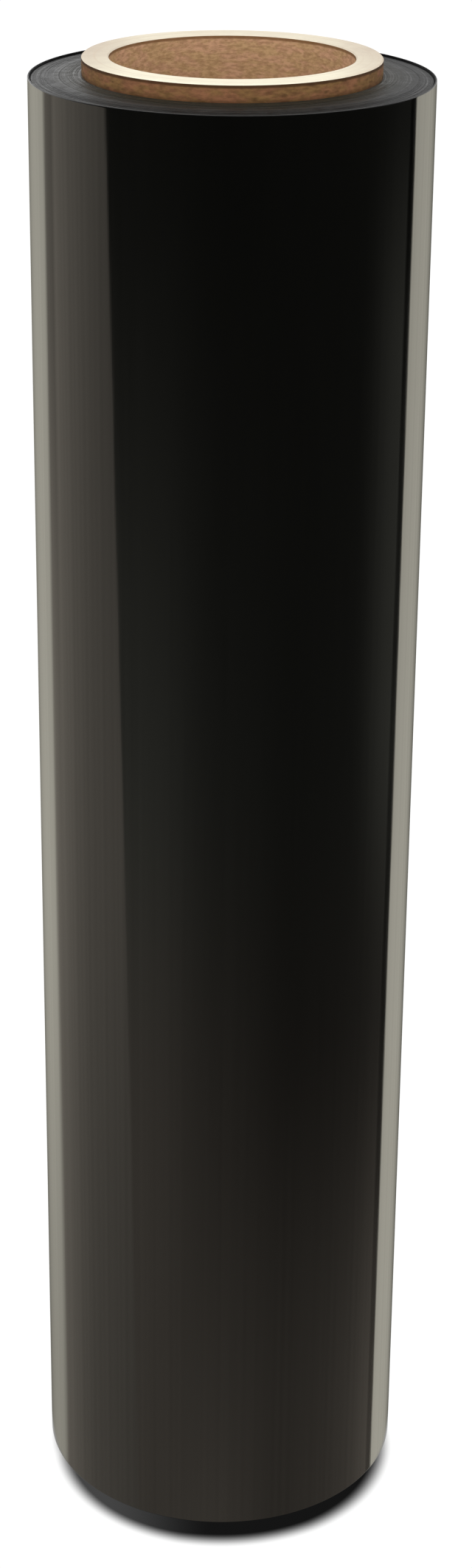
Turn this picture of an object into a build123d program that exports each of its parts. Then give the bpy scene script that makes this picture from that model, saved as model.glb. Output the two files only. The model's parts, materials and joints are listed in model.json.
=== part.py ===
from build123d import *

import math
import os

# A stretch wrap roll: plastic film wound tight on a paperboard core, standing on its end.
# Millimetres, +Z up. The origin lies on the roll's axis, at the foot of the core.
# The core stands out past the film at both ends, so the roll rests on the core's rim alone
# and the film's lower end hangs clear of the surface below.

# The core, a spiral-wound tube that is glued up in one piece and cut to length.
core_bore_diameter = 76.2  # 3 inch, the size that a dispenser's mandrel or end plugs take
core_wall = 8.4
core_overhang = 6.0  # bare core past the film, at each end
core_rim_chamfer = 0.4  # the cut leaves its four rims slightly eased

# The film, one continuous web. Its length and thickness set how thick the winding is.
film_width = 500.0
film_length = 250e3
film_thickness = 0.023
film_edge_radius = 0.8  # the outermost turns roll over a little at each end

core_bore_radius = core_bore_diameter / 2
core_radius = core_bore_radius + core_wall
core_length = film_width + 2 * core_overhang

# The first turn lies on the core, so the winding's bore is the core's outside.
winding_area = film_length * film_thickness
film_radius = math.sqrt(core_radius**2 + winding_area / math.pi)


def tube(outer_radius, inner_radius, bottom, length):
    """A straight tube round the Z axis, from its bottom end upwards."""
    section = Circle(outer_radius) - Circle(inner_radius)
    return extrude(Pos(0, 0, bottom) * section, amount=length)


def end_rims(part, radius):
    """The two circular edges of that radius, one at each end of a tube."""
    circles = part.edges().filter_by(GeomType.CIRCLE)
    return circles.filter_by(lambda edge: math.isclose(edge.radius, radius))


def make_core():
    """The paperboard tube, open right through, with all four rims eased."""
    core = tube(core_radius, core_bore_radius, 0, core_length)
    rims = end_rims(core, core_radius) + end_rims(core, core_bore_radius)
    return chamfer(rims, core_rim_chamfer)


def make_film_roll():
    """Every turn of the film as one solid, centred along the core."""
    roll = tube(film_radius, core_radius, core_overhang, film_width)
    return fillet(end_rims(roll, film_radius), film_edge_radius)


nodes = {
    "core": make_core(),
    "film_roll": make_film_roll(),
}

os.makedirs("parts", exist_ok=True)
for name, solid in nodes.items():
    solid.label = name
    export_step(solid, f"parts/{name}.step")
    size = solid.bounding_box().size
    print(f"{name}: {size.X:.1f} across, {size.Z:.1f} long")
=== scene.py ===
import json
import math
import random

import bmesh
import bpy
from mathutils import Matrix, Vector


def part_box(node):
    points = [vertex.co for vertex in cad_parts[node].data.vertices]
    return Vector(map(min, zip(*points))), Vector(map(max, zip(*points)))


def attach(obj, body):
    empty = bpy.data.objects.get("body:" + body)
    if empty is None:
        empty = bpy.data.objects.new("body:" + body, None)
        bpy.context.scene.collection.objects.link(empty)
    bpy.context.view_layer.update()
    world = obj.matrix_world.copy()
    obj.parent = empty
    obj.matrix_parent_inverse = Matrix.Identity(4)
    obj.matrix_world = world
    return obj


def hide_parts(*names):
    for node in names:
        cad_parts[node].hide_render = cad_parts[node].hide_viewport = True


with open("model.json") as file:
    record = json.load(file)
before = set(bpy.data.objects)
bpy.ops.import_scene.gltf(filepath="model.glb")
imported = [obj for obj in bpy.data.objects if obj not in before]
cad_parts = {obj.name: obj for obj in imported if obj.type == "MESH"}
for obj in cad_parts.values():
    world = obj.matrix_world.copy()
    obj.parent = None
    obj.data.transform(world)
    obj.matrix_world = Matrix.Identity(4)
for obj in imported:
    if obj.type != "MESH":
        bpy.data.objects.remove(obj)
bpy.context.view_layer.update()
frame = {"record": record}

# A stretch wrap roll on its paperboard core, in metres, standing on end on the XY plane.
filmLow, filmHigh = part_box("film_roll")
coreLow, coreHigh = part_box("core")
boreMount = next(mount for mount in frame["record"]["mounts"] if mount["name"] == "core_bore")

filmRadius = min(filmHigh.x, filmHigh.y, -filmLow.x, -filmLow.y)   # inside the facets of the CAD circle
coreRadius = max(coreHigh.x, coreHigh.y)
boreRadius = boreMount["dims"]["r_mm"] / 1000
coreLength = coreHigh.z - coreLow.z
print("frame loaded, film", round(filmRadius * 2, 4), "core", round(coreRadius * 2, 4), round(coreLength, 4))


mergeDistance = 1e-6        # points closer together than this are merged


def deselectAll():
    if bpy.context.object and bpy.context.object.mode != "OBJECT":
        bpy.ops.object.mode_set(mode="OBJECT")
    bpy.ops.object.select_all(action="DESELECT")


def makeActive(piece):
    deselectAll()
    piece.select_set(True)
    bpy.context.view_layer.objects.active = piece


def editMode(piece, select="EDGE"):
    makeActive(piece)
    bpy.ops.object.mode_set(mode="EDIT")
    bpy.ops.mesh.select_mode(type=select)
    bpy.ops.mesh.select_all(action="DESELECT")


def selectOpenRim(piece, height, reach=0.001):
    # the open edges near a height
    mesh = bmesh.from_edit_mesh(piece.data)
    for edge in mesh.edges:
        edge.select_set(edge.is_boundary and abs(edge.verts[0].co.z - height) < reach)
    bmesh.update_edit_mesh(piece.data)


def drawProfile(name, corners):
    # a plane merged to one vertex, then extruded through (radius, height) corners in the XZ plane
    radius, height = corners[0]
    deselectAll()
    bpy.ops.mesh.primitive_plane_add(size=0.001, location=(0, 0, 0))
    piece = bpy.context.object
    piece.name = name
    bpy.ops.object.mode_set(mode="EDIT")
    bpy.ops.mesh.select_mode(type="VERT")
    bpy.ops.mesh.select_all(action="SELECT")
    bpy.ops.mesh.merge(type="CENTER")
    bpy.ops.transform.translate(value=(radius, 0, height))
    for nextRadius, nextHeight in corners[1:]:
        move = (nextRadius - radius, 0, nextHeight - height)
        bpy.ops.mesh.extrude_region_move(TRANSFORM_OT_translate={"value": move})
        radius, height = nextRadius, nextHeight
    return piece


def finishMesh(piece, smoothAngle=35):
    # in edit mode: doubles merged, faces turned outwards, then smooth shading between sharp edges
    bpy.ops.mesh.select_all(action="SELECT")
    bpy.ops.mesh.remove_doubles(threshold=mergeDistance)
    bpy.ops.mesh.normals_make_consistent(inside=False)
    makeActive(piece)
    bpy.ops.object.shade_smooth_by_angle(angle=math.radians(smoothAngle))


filmShape = {
    "segments": 256,
    "lipHeight": 0.00072,       # the last turns stand proud of the ones inside them
    "lipWidth": 0.0006,
    "lipSlope": 0.00012,
    "lipShadow": 0.00045,       # how far in from the lip the turns are painted dark, as painted shade
    "cornerRadius": 0.0003,
    "cornerSteps": 6,
    "wallShare": 0.3,           # how much of the corner, from outside, is finished as wall
    "crown": 0.00040,           # the first turns ride up on the core
    "crownCurve": 1.5,
    "levelWidth": (0.00012, 0.00042),   # groups of turns that lie at one level
    "levelStep": 0.00003,
    "levelRise": 0.00006,
    "wallRows": (0.00015, 0.0008, 0.004, 0.02, 0.08, 0.16),    # closer together towards each end
    "seed": 11,
}


def woundEnd(dice):
    # from the core outwards: how far each group of turns lies below the lip
    shape = filmShape
    lipStart = filmRadius - shape["lipWidth"]
    fall = shape["crown"] + shape["lipHeight"]

    def depthAt(radius):
        share = (radius - coreRadius) / (lipStart - coreRadius)
        return fall * share ** shape["crownCurve"] - shape["crown"]

    radius = coreRadius
    depth = depthAt(radius)
    corners = [(radius, depth)]
    while radius < lipStart - shape["levelWidth"][1] - shape["lipSlope"]:
        radius += dice.uniform(*shape["levelWidth"])
        corners.append((radius - shape["levelStep"], depth))
        depth = depthAt(radius) + dice.uniform(-1, 1) * shape["levelRise"]
        corners.append((radius, depth))
    corners.append((lipStart - shape["lipSlope"], depth))
    corners.append((lipStart, shape["lipSlope"]))
    corners.append((lipStart + shape["lipSlope"], 0.0))
    for step in range(shape["cornerSteps"] + 1):
        turn = math.pi / 2 * step / shape["cornerSteps"]
        out = filmRadius - shape["cornerRadius"] * (1 - math.sin(turn))
        corners.append((out, shape["cornerRadius"] * (1 - math.cos(turn))))
    return corners


def makeFilmRoll():
    shape = filmShape
    dice = random.Random(shape["seed"])
    lower = [(radius, filmLow.z + depth) for radius, depth in woundEnd(dice)]
    upper = [(radius, filmHigh.z - depth) for radius, depth in woundEnd(dice)]
    wallBottom = lower[-1][1]
    wallTop = upper[-1][1]
    wall = [(filmRadius, wallBottom + row) for row in shape["wallRows"]]
    wall += [(filmRadius, (wallBottom + wallTop) / 2)]
    wall += [(filmRadius, wallTop - row) for row in shape["wallRows"][::-1]]
    piece = drawProfile("woundFilm", lower + wall + upper[::-1] + [lower[0]])
    bpy.ops.mesh.select_all(action="SELECT")
    bpy.ops.mesh.spin(steps=shape["segments"], angle=math.tau, center=(0, 0, 0), axis=(0, 0, 1))
    finishMesh(piece)
    return piece


woundFilm = makeFilmRoll()
print("film roll modelled,", len(woundFilm.data.polygons), "faces")


coreShape = {
    "segments": 192,
    "plyPitch": 0.139,          # how far a ply climbs in one turn round the tube
    "seamWidth": 0.0006,
    "seamDepth": 0.00022,
    "rimChamfer": 0.0004,
    "plyRings": 7,
    "ringRise": 0.00006,
    "outerSeamTurn": 2.4,       # radians round the tube at which each seam starts
    "innerSeamTurn": 0.9,
    "flatFrom": 0.65,           # faces that look this much up or down are finished as cut ends
    "seed": 5,
}


def spiralWall(name, radius, side, startTurn):
    # one ply's width wound round the tube; side is +1 outside and -1 in the bore
    shape = coreShape
    pitch = shape["plyPitch"]
    seam = shape["seamWidth"] / 2
    bottom = radius - side * shape["seamDepth"]
    corners = [(bottom, 0), (radius, seam), (radius, pitch / 2), (radius, pitch - seam), (bottom, pitch)]
    piece = drawProfile(name, corners)
    bpy.ops.mesh.select_all(action="SELECT")
    bpy.ops.transform.translate(value=(0, 0, -pitch))
    bpy.ops.transform.rotate(value=startTurn, orient_axis="Z", center_override=(0, 0, 0))
    bpy.ops.object.mode_set(mode="OBJECT")
    screw = piece.modifiers.new("plyWinding", "SCREW")
    screw.axis = "Z"
    screw.angle = math.tau
    screw.screw_offset = pitch
    screw.iterations = math.ceil(coreLength / pitch) + 2    # longer than the core at both ends
    screw.steps = screw.render_steps = shape["segments"]
    screw.use_merge_vertices = False
    bpy.ops.object.modifier_apply(modifier=screw.name)
    editMode(piece)
    bpy.ops.mesh.select_all(action="SELECT")
    bpy.ops.mesh.remove_doubles(threshold=mergeDistance)
    # cut off where the eased rims begin
    chamfer = shape["rimChamfer"]
    for height, keepBelow in ((chamfer, False), (coreLength - chamfer, True)):
        bpy.ops.mesh.select_all(action="SELECT")
        bpy.ops.mesh.bisect(
            plane_co=(0, 0, height), plane_no=(0, 0, 1), threshold=1e-7,
            clear_outer=keepBelow, clear_inner=not keepBelow,
        )
    return piece


def extrudeRim(piece, height, fromRadius, toRadius, rise):
    # carries the open rim at a height to another radius and height
    selectOpenRim(piece, height)
    scale = toRadius / fromRadius
    bpy.ops.mesh.extrude_edges_move(TRANSFORM_OT_translate={"value": (0, 0, rise)})
    bpy.ops.transform.resize(value=(scale, scale, 1), center_override=(0, 0, height + rise))


def makeCore():
    shape = coreShape
    chamfer = shape["rimChamfer"]
    outer = spiralWall("paperboardCore", coreRadius, 1, shape["outerSeamTurn"])
    inner = spiralWall("coreBore", boreRadius, -1, shape["innerSeamTurn"])
    for wall, radius, side in ((outer, coreRadius, -1), (inner, boreRadius, 1)):
        editMode(wall)
        extrudeRim(wall, chamfer, radius, radius + side * chamfer, -chamfer)
        extrudeRim(wall, coreLength - chamfer, radius, radius + side * chamfer, chamfer)
    # the plies of the cut ends, from the outer rim inwards, each at its own level
    dice = random.Random(shape["seed"])
    editMode(outer)
    start = coreRadius - chamfer
    width = (start - boreRadius - chamfer) / (shape["plyRings"] + 1)
    for end, out in ((0, -1), (coreLength, 1)):
        height, radius = end, start
        for ring in range(shape["plyRings"]):
            rise = end - out * shape["ringRise"] * dice.uniform(0, 1) - height
            extrudeRim(outer, height, radius, radius - width, rise)
            height += rise
            radius -= width
    deselectAll()
    inner.select_set(True)
    outer.select_set(True)
    bpy.context.view_layer.objects.active = outer
    bpy.ops.object.join()
    editMode(outer)
    for end in (0, coreLength):
        selectOpenRim(outer, end)
        bpy.ops.mesh.fill(use_beauty=True)
    finishMesh(outer)
    return outer


paperboardCore = makeCore()
print("core modelled,", len(paperboardCore.data.polygons), "faces")


def setSocket(tree, socket, value):
    # a number, a colour or another node's output goes into a socket
    if isinstance(value, bpy.types.NodeSocket):
        tree.links.new(value, socket)
    elif socket.type == "RGBA" and len(value) == 3:
        socket.default_value = (*value, 1)
    else:
        socket.default_value = value


def addNode(tree, kind, sockets=None, **settings):
    node = tree.nodes.new(kind)
    for name, value in settings.items():
        setattr(node, name, value)
    for name, value in (sockets or {}).items():
        setSocket(tree, node.inputs[name], value)
    return node


def calc(tree, operation, *values):
    node = addNode(tree, "ShaderNodeMath", operation=operation)
    for socket, value in zip(node.inputs, values):
        setSocket(tree, socket, value)
    return node.outputs[0]


def fade(tree, value, start, end, low=0.0, high=1.0, curve="SMOOTHSTEP"):
    # low before start and high after end, with a smooth rise between them
    limits = {"Value": value, "From Min": start, "From Max": end, "To Min": low, "To Max": high}
    return addNode(tree, "ShaderNodeMapRange", limits, interpolation_type=curve).outputs["Result"]


def blend(tree, amount, first, second, kind="MIX"):
    node = addNode(tree, "ShaderNodeMix", data_type="RGBA", blend_type=kind)
    for index, value in ((0, amount), (6, first), (7, second)):     # the sockets of the colour mix
        setSocket(tree, node.inputs[index], value)
    return node.outputs[2]


def tinted(tree, value, tint):
    return blend(tree, 1.0, tint, value, "MULTIPLY")


def noise(tree, vector, scale, detail=2.0, roughness=0.5, distortion=0.0):
    sockets = {
        "Vector": vector, "Scale": scale, "Detail": detail, "Roughness": roughness, "Distortion": distortion,
    }
    return addNode(tree, "ShaderNodeTexNoise", sockets).outputs["Fac"]


def drawnOut(tree, vector, scale):
    # the pattern's coordinates scaled along each axis
    return addNode(tree, "ShaderNodeMapping", {"Vector": vector, "Scale": scale}).outputs["Vector"]


def newGroup(name, inputs, outputs):
    group = bpy.data.node_groups.new(name, "ShaderNodeTree")
    for label, kind, value in inputs:
        socket = group.interface.new_socket(name=label, in_out="INPUT", socket_type=kind)
        if value is not None:
            socket.default_value = value
    for label in outputs:
        group.interface.new_socket(name=label, in_out="OUTPUT", socket_type="NodeSocketFloat")
    return group, group.nodes.new("NodeGroupInput").outputs, group.nodes.new("NodeGroupOutput").inputs


def useGroup(tree, group, sockets):
    return addNode(tree, "ShaderNodeGroup", sockets, node_tree=group).outputs


def newMaterial(name, shaderValues):
    # the constant values go straight onto the shader's own sockets
    material = bpy.data.materials.new(name)
    material.use_nodes = True
    tree = material.node_tree
    shader = tree.nodes["Principled BSDF"]
    for socket, value in shaderValues.items():
        shader.inputs[socket].default_value = value
    place = tree.nodes.new("ShaderNodeTexCoord").outputs["Object"]
    return material, tree, shader, place


def bumpFrom(tree, shader, height, distance, strength=1.0):
    bump = addNode(tree, "ShaderNodeBump", {"Height": height, "Distance": distance, "Strength": strength})
    tree.links.new(bump.outputs[0], shader.inputs["Normal"])


grainMasks = {
    "mottle": (0.34, 0.66),         # where each mask starts and is full
    "patches": (0.40, 0.60),
    "fibres": (0.56, 0.74),
    "fleckEdge": (0.50, 0.10),
    "fleckPick": (0.30, 0.80),
    "toothFibres": 0.6,             # the tooth is fibres and mottling in these shares
    "toothMottle": 0.4,
}


def makePaperGrain():
    # recycled paper: mottled tone, patches of another hue, laid fibres, dark flecks and a fine tooth
    group, given, out = newGroup(
        "paperGrain",
        [("Vector", "NodeSocketVector", None), ("Mottle Scale", "NodeSocketFloat", 600.0),
         ("Patch Scale", "NodeSocketFloat", 150.0), ("Fibre Scale", "NodeSocketFloat", 900.0),
         ("Fleck Scale", "NodeSocketFloat", 300.0), ("Fleck Waver", "NodeSocketFloat", 0.003)],
        ["Mottle", "Patches", "Fibres", "Flecks", "Height"],
    )
    vector = given["Vector"]
    mottle = noise(group, vector, given["Mottle Scale"], detail=4.0, roughness=0.62)
    patch = noise(group, vector, given["Patch Scale"], detail=4.0, roughness=0.6)
    fibre = noise(group, vector, given["Fibre Scale"], detail=3.0, roughness=0.7, distortion=1.0)
    shift = addNode(group, "ShaderNodeTexNoise", {"Vector": vector, "Scale": given["Mottle Scale"]})
    scaled = {0: shift.outputs["Color"], "Scale": given["Fleck Waver"]}
    waver = addNode(group, "ShaderNodeVectorMath", scaled, operation="SCALE")
    moved = addNode(group, "ShaderNodeVectorMath", {0: vector, 1: waver.outputs[0]}, operation="ADD")
    cellPlace = {"Vector": moved.outputs[0], "Scale": given["Fleck Scale"]}
    cells = addNode(group, "ShaderNodeTexVoronoi", cellPlace)
    pick = addNode(group, "ShaderNodeSeparateColor", {"Color": cells.outputs["Color"]}).outputs[0]
    fleck = fade(group, cells.outputs["Distance"], *grainMasks["fleckEdge"])
    raisedFibres = calc(group, "MULTIPLY", fibre, grainMasks["toothFibres"])
    tooth = calc(group, "ADD", raisedFibres, calc(group, "MULTIPLY", mottle, grainMasks["toothMottle"]))
    group.links.new(fade(group, mottle, *grainMasks["mottle"]), out["Mottle"])
    group.links.new(fade(group, patch, *grainMasks["patches"]), out["Patches"])
    group.links.new(fade(group, fibre, *grainMasks["fibres"]), out["Fibres"])
    picked = fade(group, pick, *grainMasks["fleckPick"])
    group.links.new(calc(group, "MULTIPLY", fleck, picked), out["Flecks"])
    group.links.new(tooth, out["Height"])
    return group


def makeTurnRings():
    # lines round the axis, as wound layers show at an end
    group, given, out = newGroup(
        "turnRings",
        [("Vector", "NodeSocketVector", None), ("Ring Scale", "NodeSocketFloat", 1800.0),
         ("Waver", "NodeSocketFloat", 12.0)],
        ["Rings", "Radius"],
    )
    flat = addNode(group, "ShaderNodeVectorMath", {0: given["Vector"], 1: (1, 1, 0)}, operation="MULTIPLY")
    length = addNode(group, "ShaderNodeVectorMath", {0: flat.outputs[0]}, operation="LENGTH")
    radius = length.outputs["Value"]
    parts = addNode(group, "ShaderNodeSeparateXYZ", {"Vector": given["Vector"]}).outputs
    ringPlace = addNode(group, "ShaderNodeCombineXYZ", {
        "X": calc(group, "MULTIPLY", radius, given["Ring Scale"]),
        "Y": calc(group, "MULTIPLY", parts["X"], given["Waver"]),
        "Z": calc(group, "MULTIPLY", parts["Y"], given["Waver"]),
    })
    rings = noise(group, ringPlace.outputs[0], scale=1.0, detail=3.0, roughness=0.65)
    group.links.new(rings, out["Rings"])
    group.links.new(radius, out["Radius"])
    return group


def makeEndShade():
    # masks by the distance from the core's nearer end: a line under the rim, and shade further in
    group, given, out = newGroup(
        "endShade",
        [("Vector", "NodeSocketVector", None), ("Line Start", "NodeSocketFloat", 0.0010),
         ("Line End", "NodeSocketFloat", 0.0016), ("Shade Start", "NodeSocketFloat", 0.004),
         ("Shade End", "NodeSocketFloat", 0.006)],
        ["Line", "Shade"],
    )
    height = addNode(group, "ShaderNodeSeparateXYZ", {"Vector": given["Vector"]}).outputs["Z"]
    fromEnd = calc(group, "MINIMUM", height, calc(group, "SUBTRACT", coreLength, height))
    group.links.new(fade(group, fromEnd, given["Line End"], given["Line Start"]), out["Line"])
    group.links.new(fade(group, fromEnd, given["Shade Start"], given["Shade End"]), out["Shade"])
    return group


paperGrain = makePaperGrain()
turnRings = makeTurnRings()
endShade = makeEndShade()


filmWall = {
    "black": (0.0003, 0.0003, 0.00025),
    "blackPale": (0.0007, 0.0007, 0.0006),
    "roughness": (0.055, 0.080),
    "streakScale": (900.0, 900.0, 22.0),        # drawn lines that run up the roll
    "streakReach": (0.3, 0.7),
    "streakHeight": 0.0000045,
}
turnEdges = {
    "dark": (0.004, 0.004, 0.004),
    "pale": (0.017, 0.017, 0.015),
    "inner": (0.025, 0.024, 0.014),             # the first turns are browner
    "innerReach": (0.0480, 0.0580),
    "roughness": (0.34, 0.50),
    "ringScale": 5200.0,
    "ringWaver": 30.0,
    "ringShare": 0.35,                          # how much of the tone follows the rings, the rest is mottled
    "mottleScale": 300.0,
    "toneReach": (0.38, 0.62),                  # the part of the pattern from dark to pale
    "roughReach": (0.35, 0.65),
    "ringHeight": 0.00002,
}
lipTroughShade = {                                   # painted shade on the lip's inner side and in the trough beside it; its rings and reaches are those of the other turns
    "dark": (0.0004, 0.0004, 0.0004),
    "pale": (0.0022, 0.0022, 0.0022),
    "roughness": (0.50, 0.65),
    "shader": {"IOR": 1.5, "Specular IOR Level": 0.06},
}


def makeFilmWall():
    material, tree, shader, place = newMaterial("blackStretchFilm", {"IOR": 1.5})
    lines = drawnOut(tree, place, filmWall["streakScale"])
    streaks = noise(tree, lines, scale=1.0, detail=3.0, roughness=0.6)
    rough = fade(tree, streaks, *filmWall["streakReach"], *filmWall["roughness"])
    tree.links.new(rough, shader.inputs["Roughness"])
    tint = blend(tree, streaks, filmWall["black"], filmWall["blackPale"])
    tree.links.new(tint, shader.inputs["Base Color"])
    bumpFrom(tree, shader, streaks, filmWall["streakHeight"])
    return material


def filmTurns(tree, place):
    sockets = {"Vector": place, "Ring Scale": turnEdges["ringScale"], "Waver": turnEdges["ringWaver"]}
    return useGroup(tree, turnRings, sockets)


def makeTurnEdges():
    material, tree, shader, place = newMaterial("woundFilmEdges", {"IOR": 1.5})
    turns = filmTurns(tree, place)
    mottle = noise(tree, place, turnEdges["mottleScale"], detail=5.0, roughness=0.65, distortion=0.4)
    mixing = {0: 1 - turnEdges["ringShare"], 2: turns["Rings"], 3: mottle}      # the sockets of the float mix
    tone = addNode(tree, "ShaderNodeMix", mixing).outputs[0]
    colour = blend(tree, fade(tree, tone, *turnEdges["toneReach"]), turnEdges["dark"], turnEdges["pale"])
    start, end = turnEdges["innerReach"]
    colour = blend(tree, fade(tree, turns["Radius"], end, start), colour, turnEdges["inner"])
    tree.links.new(colour, shader.inputs["Base Color"])
    rough = fade(tree, tone, *turnEdges["roughReach"], *turnEdges["roughness"])
    tree.links.new(rough, shader.inputs["Roughness"])
    bumpFrom(tree, shader, turns["Rings"], turnEdges["ringHeight"])
    return material


def makeLipTroughShade():
    # painted shade: the lip's inner side and the trough beside it, darker and duller than the other turns
    material, tree, shader, place = newMaterial("filmLipPaintedShade", lipTroughShade["shader"])
    rings = filmTurns(tree, place)["Rings"]
    colour = blend(tree, fade(tree, rings, *turnEdges["toneReach"]), lipTroughShade["dark"], lipTroughShade["pale"])
    tree.links.new(colour, shader.inputs["Base Color"])
    rough = fade(tree, rings, *turnEdges["roughReach"], *lipTroughShade["roughness"])
    tree.links.new(rough, shader.inputs["Roughness"])
    return material


kraft = {                               # both papers share these
    "shader": {"Roughness": 0.82, "Specular IOR Level": 0.25},
    "drawnOut": (1.0, 1.0, 2.6),        # the fibres lie round the tube, so the pattern is longer that way
    "hueShare": 0.6,                    # how far the patches leave the base colour
    "toothHeight": 0.00012,
    "toothStrength": 0.6,
    "rimLineReach": (0.0010, 0.0016),   # a dark line just under each cut rim
    "rimLine": 0.85,
}
outerPly = {
    "base": (0.245, 0.122, 0.050),
    "red": (0.270, 0.108, 0.056),
    "olive": (0.205, 0.116, 0.036),
    "dark": (0.050, 0.019, 0.004),
    "grain": {"Mottle Scale": 400.0, "Patch Scale": 105.0, "Fibre Scale": 900.0, "Fleck Scale": 230.0},
    "mottle": 0.42,
    "fibres": 0.34,
    "flecks": 0.50,
    "shadeReach": (0.0038, 0.0064),     # it darkens towards the film, by distance from the core's end
    "shade": 0.80,
}
boreLiner = {
    "base": (0.560, 0.350, 0.195),
    "red": (0.625, 0.358, 0.222),
    "olive": (0.530, 0.348, 0.165),
    "dark": (0.180, 0.085, 0.030),
    "grain": {"Mottle Scale": 480.0, "Patch Scale": 150.0, "Fibre Scale": 1000.0, "Fleck Scale": 380.0},
    "mottle": 0.46,
    "fibres": 0.30,
    "flecks": 0.30,
    "shadeReach": (0.02, 0.30),         # and down inside the bore
    "shade": 0.35,
}
cutPaper = {
    "shader": {"Roughness": 0.9, "Specular IOR Level": 0.2},
    "pale": (0.83, 0.775, 0.615),
    "shade": (0.54, 0.455, 0.370),
    "line": (0.60, 0.490, 0.375),
    "grain": {"Mottle Scale": 900.0, "Patch Scale": 120.0, "Fibre Scale": 1500.0},
    "plies": {"Ring Scale": 620.0, "Waver": 6.0},
    "sideShade": (0.026, 0.046, 0.0, 0.50),        # painted shade: the cut end is darker at its sides and over its back half
    "backShade": (-0.030, 0.020, 0.0, 0.30),
    "patches": 0.10,
    "plyLines": (0.52, 0.66, 0.0, 0.4),
    "fibres": 0.15,
    "plyRise": 0.5,                     # the cut surface is plies and paper grain in these shares
    "grainRise": 0.5,
    "toothHeight": 0.00012,
    "toothStrength": 0.5,
}


def makeKraft(name, ply):
    material, tree, shader, place = newMaterial(name, kraft["shader"])
    fibreLay = drawnOut(tree, place, kraft["drawnOut"])
    grain = useGroup(tree, paperGrain, {"Vector": fibreLay, **ply["grain"]})
    hue = blend(tree, grain["Patches"], ply["olive"], ply["red"])
    colour = blend(tree, kraft["hueShare"], ply["base"], hue)
    mottle = calc(tree, "SUBTRACT", 1.0, grain["Mottle"])
    darkened = ((mottle, ply["mottle"]), (grain["Fibres"], ply["fibres"]), (grain["Flecks"], ply["flecks"]))
    for mask, strength in darkened:
        colour = blend(tree, calc(tree, "MULTIPLY", mask, strength), colour, ply["dark"])
    lineStart, lineEnd = kraft["rimLineReach"]
    shadeStart, shadeEnd = ply["shadeReach"]
    nearEnd = useGroup(tree, endShade, {
        "Vector": place, "Line Start": lineStart, "Line End": lineEnd,
        "Shade Start": shadeStart, "Shade End": shadeEnd,
    })
    line = calc(tree, "MULTIPLY", nearEnd["Line"], kraft["rimLine"])
    shade = calc(tree, "MULTIPLY", nearEnd["Shade"], ply["shade"])
    colour = blend(tree, calc(tree, "MAXIMUM", line, shade), colour, ply["dark"])
    tree.links.new(colour, shader.inputs["Base Color"])
    bumpFrom(tree, shader, grain["Height"], kraft["toothHeight"], kraft["toothStrength"])
    return material


def makeCutEnd():
    material, tree, shader, place = newMaterial("cutPaperboard", cutPaper["shader"])
    grain = useGroup(tree, paperGrain, {"Vector": place, **cutPaper["grain"]})
    plies = useGroup(tree, turnRings, {"Vector": place, **cutPaper["plies"]})["Rings"]
    parts = addNode(tree, "ShaderNodeSeparateXYZ", {"Vector": place}).outputs
    # painted shade at the sides and back of the cut end, with the paper's own patches on top
    shadeAndPatches = fade(tree, calc(tree, "ABSOLUTE", parts["X"]), *cutPaper["sideShade"])
    shadeAndPatches = calc(tree, "ADD", shadeAndPatches, fade(tree, parts["Y"], *cutPaper["backShade"]))
    shadeAndPatches = calc(tree, "ADD", shadeAndPatches, calc(tree, "MULTIPLY", grain["Patches"], cutPaper["patches"]))
    colour = blend(tree, shadeAndPatches, cutPaper["pale"], cutPaper["shade"])
    colour = blend(tree, fade(tree, plies, *cutPaper["plyLines"]), colour, cutPaper["line"])
    fibres = calc(tree, "MULTIPLY", grain["Fibres"], cutPaper["fibres"])
    colour = blend(tree, fibres, colour, cutPaper["line"])
    tree.links.new(colour, shader.inputs["Base Color"])
    plyHeight = calc(tree, "MULTIPLY", plies, cutPaper["plyRise"])
    height = calc(tree, "ADD", plyHeight, calc(tree, "MULTIPLY", grain["Height"], cutPaper["grainRise"]))
    bumpFrom(tree, shader, height, cutPaper["toothHeight"], cutPaper["toothStrength"])
    return material


def dress(piece, materials, pick):
    for material in materials:
        piece.data.materials.append(material)
    for face in piece.data.polygons:
        face.material_index = pick(face.center.to_2d().length, abs(face.normal.z))


def filmPart(radius, upright):
    # wall 0, edges of the wound turns 1, the inner side of the lip and the trough beside it, painted dark as
    # shade, 2
    if radius > filmRadius - filmShape["cornerRadius"] * filmShape["wallShare"]:
        return 0
    pastLip = radius - (filmRadius - filmShape["lipWidth"])
    if pastLip < -filmShape["lipShadow"] or pastLip > filmShape["lipSlope"]:
        return 1
    return 2


def corePart(radius, upright):
    # outer wall 0 and bore 1, with their seams; cut ends and eased rims 2
    if upright > coreShape["flatFrom"]:
        return 2
    return 0 if radius > (coreRadius + boreRadius) / 2 else 1


dress(woundFilm, [makeFilmWall(), makeTurnEdges(), makeLipTroughShade()], filmPart)
coreFinishes = [makeKraft("kraftOuterPly", outerPly), makeKraft("kraftBoreLiner", boreLiner), makeCutEnd()]
dress(paperboardCore, coreFinishes, corePart)
print("finishes made")

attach(woundFilm, "root")
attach(paperboardCore, "root")
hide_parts("film_roll")
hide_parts("core")


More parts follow.
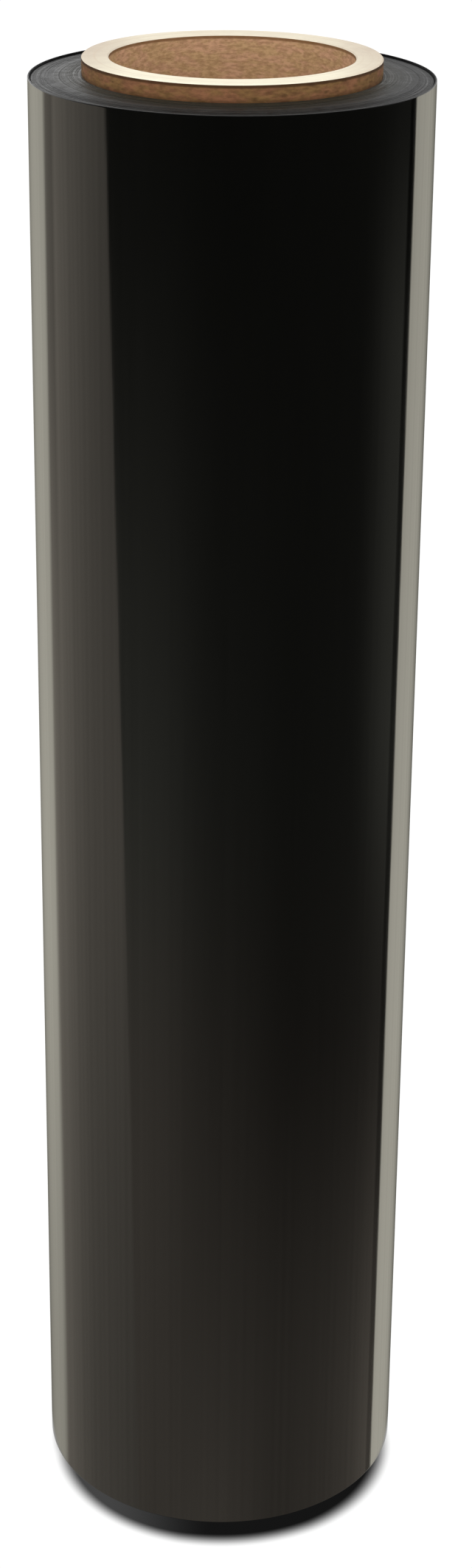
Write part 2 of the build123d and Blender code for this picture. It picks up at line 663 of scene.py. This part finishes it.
# What the glossy film mirrors. Directions are in degrees: round from the camera's side, left negative,
# and up from the horizon. Four numbers are a fade: where it starts and ends, then its value at each.
mirrored = {
    "horizonDip": 11.6,
    "steepest": 38.0,                           # the floor's glow grows no further below this
    "footShade": (-40.0, -65.0, 1.0, 0.35),     # and fades again close to the roll's foot
    "frontGlow": (0.045, 9.9),                  # lit floor in front: its glow at the dip, how fast it grows
    "rightGlow": (0.050, 20.0),
    "rightLift": (-28.0, -36.5, 0.0, 0.20),
    "rightFrom": (-5.0, 45.0),
    "rightPatch": {"middle": -19.0, "height": (9.0, 3.0), "turn": (80.0, 108.0), "glow": 0.11},
    "leftGlow": (-10.0, -34.0, 0.065, 0.58),
    "leftFrom": (0.0, -52.0),
    "highTint": (1.00, 1.0, 0.85),
    "lowTint": (1.13, 1.0, 0.84),
    "tintReach": (-23.0, -31.0),
    "horizon": (-9.0, -3.0),
}
sideWall = {                                    # a dim wall on the left
    "edge": -81.9,
    "edgeLean": -0.69,                          # degrees that its edge turns for each degree down
    "edgeSoft": 0.8,
    "glow": (-21.0, -37.0, 0.85, 0.58),
    "nearEdge": (-16.0, -27.0, 0.86, 1.08),
    "nearReach": (-72.0, -96.0),
    "tint": (1.10, 1.0, 0.85),
}
strips = {                                      # tall soft lights, with a dark gap before each
    "left": {"reach": (128.0, 134.0), "glow": 1.66, "fall": (165.0, 0.20), "level": (0.97, 0.62)},
    "right": {"reach": (125.2, 127.2), "glow": 1.96, "fall": (166.0, 0.10), "level": (0.98, 0.88)},
    "levelReach": (-24.0, -37.0),
    "leftWidens": (-20.0, -36.0, 0.0, 3.5),     # the left one is wider low down
    "leftGap": {"reach": (-118.5, -122.0), "depth": (-12.0, -26.0, 0.62, 0.90)},
    "rightGap": {"reach": (118.0, 120.5), "depth": (-12.0, -36.0, 0.10, 0.55)},
    "tint": (1.04, 1.0, 0.85),
}
streaks = {"scale": 0.35, "detail": 3.0, "level": (0.3, 0.7, 0.94, 1.06)}
sky = {
    "backdrop": (-4.6, 2.0, 1.22, 0.10),        # pale behind the roll's left and dark towards its right
    "backdropRight": (3.3, 5.4, 0.0, 0.8),      # and paler again at the far right
    "backFrom": (75.0, 125.0),
    "overhead": 0.40,
    "overheadFrom": (25.0, 60.0),
    "domeFront": 1.55,                          # the light that falls on the rough surfaces
    "domeBack": 0.85,
    "domeLeft": 1.08,
}


def grown(tree, elevation, glow, reach):
    # a glow that grows steadily as the view turns down to the floor
    down = calc(tree, "MINIMUM", calc(tree, "MULTIPLY", elevation, -1.0), mirrored["steepest"])
    below = calc(tree, "SUBTRACT", down, mirrored["horizonDip"])
    return calc(tree, "MULTIPLY", calc(tree, "EXPONENT", calc(tree, "DIVIDE", below, reach)), glow)


def mirroredFloor(tree, azimuth, elevation):
    ahead = grown(tree, elevation, *mirrored["frontGlow"])
    lift = fade(tree, elevation, *mirrored["rightLift"])
    toRight = calc(tree, "ADD", grown(tree, elevation, *mirrored["rightGlow"]), lift)
    patch = mirrored["rightPatch"]
    fromMiddle = calc(tree, "ABSOLUTE", calc(tree, "SUBTRACT", elevation, patch["middle"]))
    onSide = fade(tree, azimuth, *patch["turn"])
    spot = calc(tree, "MULTIPLY", onSide, fade(tree, fromMiddle, *patch["height"]))
    toRight = calc(tree, "ADD", toRight, calc(tree, "MULTIPLY", spot, patch["glow"]))
    toLeft = fade(tree, elevation, *mirrored["leftGlow"])
    glow = blend(tree, fade(tree, azimuth, *mirrored["rightFrom"]), ahead, toRight)
    glow = blend(tree, fade(tree, azimuth, *mirrored["leftFrom"]), glow, toLeft)
    low = fade(tree, elevation, *mirrored["tintReach"])
    tint = blend(tree, low, mirrored["highTint"], mirrored["lowTint"])
    return tinted(tree, glow, tint)


def mirroredWall(tree, azimuth, elevation, colour):
    # the dim wall on the left, laid over a colour; its edge leans
    edge = calc(tree, "ADD", calc(tree, "MULTIPLY", elevation, sideWall["edgeLean"]), sideWall["edge"])
    soft = sideWall["edgeSoft"]
    onWall = fade(tree, calc(tree, "SUBTRACT", azimuth, edge), soft, -soft)
    glow = fade(tree, elevation, *sideWall["glow"])
    nearEdge = fade(tree, elevation, *sideWall["nearEdge"])
    glow = calc(tree, "MULTIPLY", glow, fade(tree, azimuth, *sideWall["nearReach"], nearEdge, 1.0))
    return blend(tree, onWall, colour, tinted(tree, glow, sideWall["tint"]))


def brightStrip(tree, turned, elevation, strip):
    # a tall soft light that fades away from its near edge
    end, left = strip["fall"]
    side = fade(tree, turned, strip["reach"][1], end, 1.0, left, "LINEAR")
    high, low = strip["level"]
    level = fade(tree, elevation, *strips["levelReach"], strip["glow"] * high, strip["glow"] * low)
    return tinted(tree, calc(tree, "MULTIPLY", side, level), strips["tint"])


def darkGaps(tree, azimuth, elevation, colour):
    # a dark edge just before each bright strip
    gapDepth = fade(tree, elevation, *strips["rightGap"]["depth"], "LINEAR")
    gap = fade(tree, azimuth, *strips["rightGap"]["reach"], 1.0, gapDepth)
    leftDepth = fade(tree, elevation, *strips["leftGap"]["depth"])
    gap = calc(tree, "MINIMUM", gap, fade(tree, azimuth, *strips["leftGap"]["reach"], 1.0, leftDepth))
    return blend(tree, 1.0, colour, gap, "MULTIPLY")


def streaked(tree, azimuth, colour):
    # faint upright bands in whatever the wall mirrors
    along = {"W": azimuth, "Scale": streaks["scale"], "Detail": streaks["detail"]}
    bands = addNode(tree, "ShaderNodeTexNoise", along, noise_dimensions="1D").outputs["Fac"]
    return blend(tree, 1.0, colour, fade(tree, bands, *streaks["level"]), "MULTIPLY")


def mirroredSky(tree, turned, elevation, behind):
    # above the horizon: a white backdrop behind, a dark room in front, a dim ceiling
    back = fade(tree, behind, *sky["backdrop"])
    back = calc(tree, "ADD", back, fade(tree, behind, *sky["backdropRight"]))
    room = (mirrored["frontGlow"][0],) * 3
    colour = blend(tree, fade(tree, turned, *sky["backFrom"]), room, back)
    return blend(tree, fade(tree, elevation, *sky["overheadFrom"]), colour, (sky["overhead"],) * 3)


def studioMirror(tree, azimuth, elevation, behind):
    # what glossy surfaces mirror: a dark room in front, its lit floor low down, pale walls behind
    colour = mirroredFloor(tree, azimuth, elevation)
    colour = mirroredWall(tree, azimuth, elevation, colour)
    colour = darkGaps(tree, azimuth, elevation, colour)
    turned = calc(tree, "ABSOLUTE", azimuth)
    early = fade(tree, elevation, *strips["leftWidens"])
    leftTurned = calc(tree, "ADD", calc(tree, "MULTIPLY", azimuth, -1.0), early)
    for side, strip in ((leftTurned, strips["left"]), (azimuth, strips["right"])):
        onSide = fade(tree, side, *strip["reach"])
        colour = blend(tree, onSide, colour, brightStrip(tree, turned, elevation, strip))
    colour = streaked(tree, azimuth, colour)
    colour = blend(tree, 1.0, colour, fade(tree, elevation, *mirrored["footShade"]), "MULTIPLY")
    above = mirroredSky(tree, turned, elevation, behind)
    return blend(tree, fade(tree, elevation, *mirrored["horizon"]), colour, above)


floorLook = {
    "size": 14.0,
    "white": 1.05,                      # as the camera sees the floor and the backdrop
    "contactReach": (-0.0028, 0.0068),  # the painted shadow under the roll, from its rim outwards
    "contactHeading": 9.0,              # the way it reaches furthest, in degrees
    "contactSides": (0.93, 0.1, 0.0, 0.0055),       # and how much less it reaches at its sides
    "contactDark": (-0.002, -0.045, 0.007, 0.056),  # how dark the painted shadow is, from right to left
    "nearGlow": 0.70,                   # the floor close to the roll, as the film mirrors it
    "nearReach": (0.001, 0.005),
}


def makeWorld():
    world = bpy.data.worlds.new("whiteStudio")
    bpy.context.scene.world = world
    world.use_nodes = True
    world.cycles.sampling_method = "NONE"
    tree = world.node_tree
    tree.nodes.clear()
    direction = tree.nodes.new("ShaderNodeTexCoord").outputs["Generated"]
    parts = addNode(tree, "ShaderNodeSeparateXYZ", {"Vector": direction}).outputs
    towardsFront = calc(tree, "MULTIPLY", parts["Y"], -1.0)
    azimuth = calc(tree, "DEGREES", calc(tree, "ARCTAN2", parts["X"], towardsFront))
    behind = calc(tree, "DEGREES", calc(tree, "ARCTAN2", parts["X"], parts["Y"]))
    elevation = calc(tree, "DEGREES", calc(tree, "ARCSINE", parts["Z"]))
    dome = fade(tree, parts["Y"], -1.0, 1.0, sky["domeFront"], sky["domeBack"])
    dome = calc(tree, "MULTIPLY", dome, fade(tree, parts["X"], 1.0, -1.0, 1.0, sky["domeLeft"]))
    path = tree.nodes.new("ShaderNodeLightPath").outputs
    seen = blend(tree, path["Is Glossy Ray"], dome, studioMirror(tree, azimuth, elevation, behind))
    seen = blend(tree, path["Is Camera Ray"], seen, (floorLook["white"],) * 3)
    background = addNode(tree, "ShaderNodeBackground", {"Color": seen, "Strength": 1.0})
    output = tree.nodes.new("ShaderNodeOutputWorld")
    tree.links.new(background.outputs[0], output.inputs["Surface"])


def makeFloor():
    # a white floor that glows evenly, with a painted shadow where the roll stands close over it
    deselectAll()
    bpy.ops.mesh.primitive_plane_add(size=floorLook["size"], location=(0, 0, coreLow.z))
    floor = bpy.context.object
    floor.name = "studioFloor"
    material = bpy.data.materials.new("litWhiteFloor")
    material.use_nodes = True
    tree = material.node_tree
    tree.nodes.clear()
    place = tree.nodes.new("ShaderNodeTexCoord").outputs["Object"]
    radius = addNode(tree, "ShaderNodeVectorMath", {0: place}, operation="LENGTH").outputs["Value"]
    heading = math.radians(floorLook["contactHeading"])
    front = (math.sin(heading), -math.cos(heading), 0)
    along = addNode(tree, "ShaderNodeVectorMath", {0: place, 1: front}, operation="DOT_PRODUCT")
    ahead = calc(tree, "DIVIDE", along.outputs["Value"], radius)
    sideways = fade(tree, ahead, *floorLook["contactSides"], "LINEAR")
    start, end = floorLook["contactReach"]
    lit = fade(tree, calc(tree, "ADD", radius, sideways), filmRadius + start, filmRadius + end)
    lit = calc(tree, "MULTIPLY", lit, lit)
    across = addNode(tree, "ShaderNodeSeparateXYZ", {"Vector": place}).outputs["X"]
    lit = calc(tree, "MAXIMUM", lit, fade(tree, across, *floorLook["contactDark"]))
    path = tree.nodes.new("ShaderNodeLightPath").outputs
    strength = fade(tree, path["Is Glossy Ray"], 0.0, 1.0, floorLook["white"], floorLook["nearGlow"])
    glow = addNode(tree, "ShaderNodeEmission", {"Color": lit, "Strength": strength})
    clear = tree.nodes.new("ShaderNodeBsdfTransparent")
    # mirrored further off, the floor gives way to the studio's own floor tones
    start, end = floorLook["nearReach"]
    away = fade(tree, radius, filmRadius + start, filmRadius + end)
    passes = calc(tree, "MULTIPLY", path["Is Glossy Ray"], away)
    mixed = tree.nodes.new("ShaderNodeMixShader")
    tree.links.new(passes, mixed.inputs[0])
    tree.links.new(glow.outputs[0], mixed.inputs[1])
    tree.links.new(clear.outputs[0], mixed.inputs[2])
    output = tree.nodes.new("ShaderNodeOutputMaterial")
    tree.links.new(mixed.outputs[0], output.inputs["Surface"])
    floor.data.materials.append(material)


studioCamera = {
    "place": (0.00348, -0.92248, 0.67501),
    "lookDown": 23.865,
    "roll": 0.612,
    "lens": 67.84,
    "sensor": 36.0,
}


def makeCamera():
    deselectAll()
    bpy.ops.object.camera_add(location=studioCamera["place"])
    camera = bpy.context.object
    camera.name = "studioCamera"
    camera.data.sensor_width = studioCamera["sensor"]
    camera.data.lens = studioCamera["lens"]
    camera.data.clip_start = 0.01
    tilt = Matrix.Rotation(math.radians(90 - studioCamera["lookDown"]), 3, "X")
    roll = Matrix.Rotation(math.radians(studioCamera["roll"]), 3, "Z")
    camera.rotation_euler = (tilt @ roll).to_euler()
    bpy.context.scene.camera = camera


makeWorld()
makeFloor()
makeCamera()
bpy.context.scene.view_settings.view_transform = "Standard"
print("studio ready")

deselectAll()
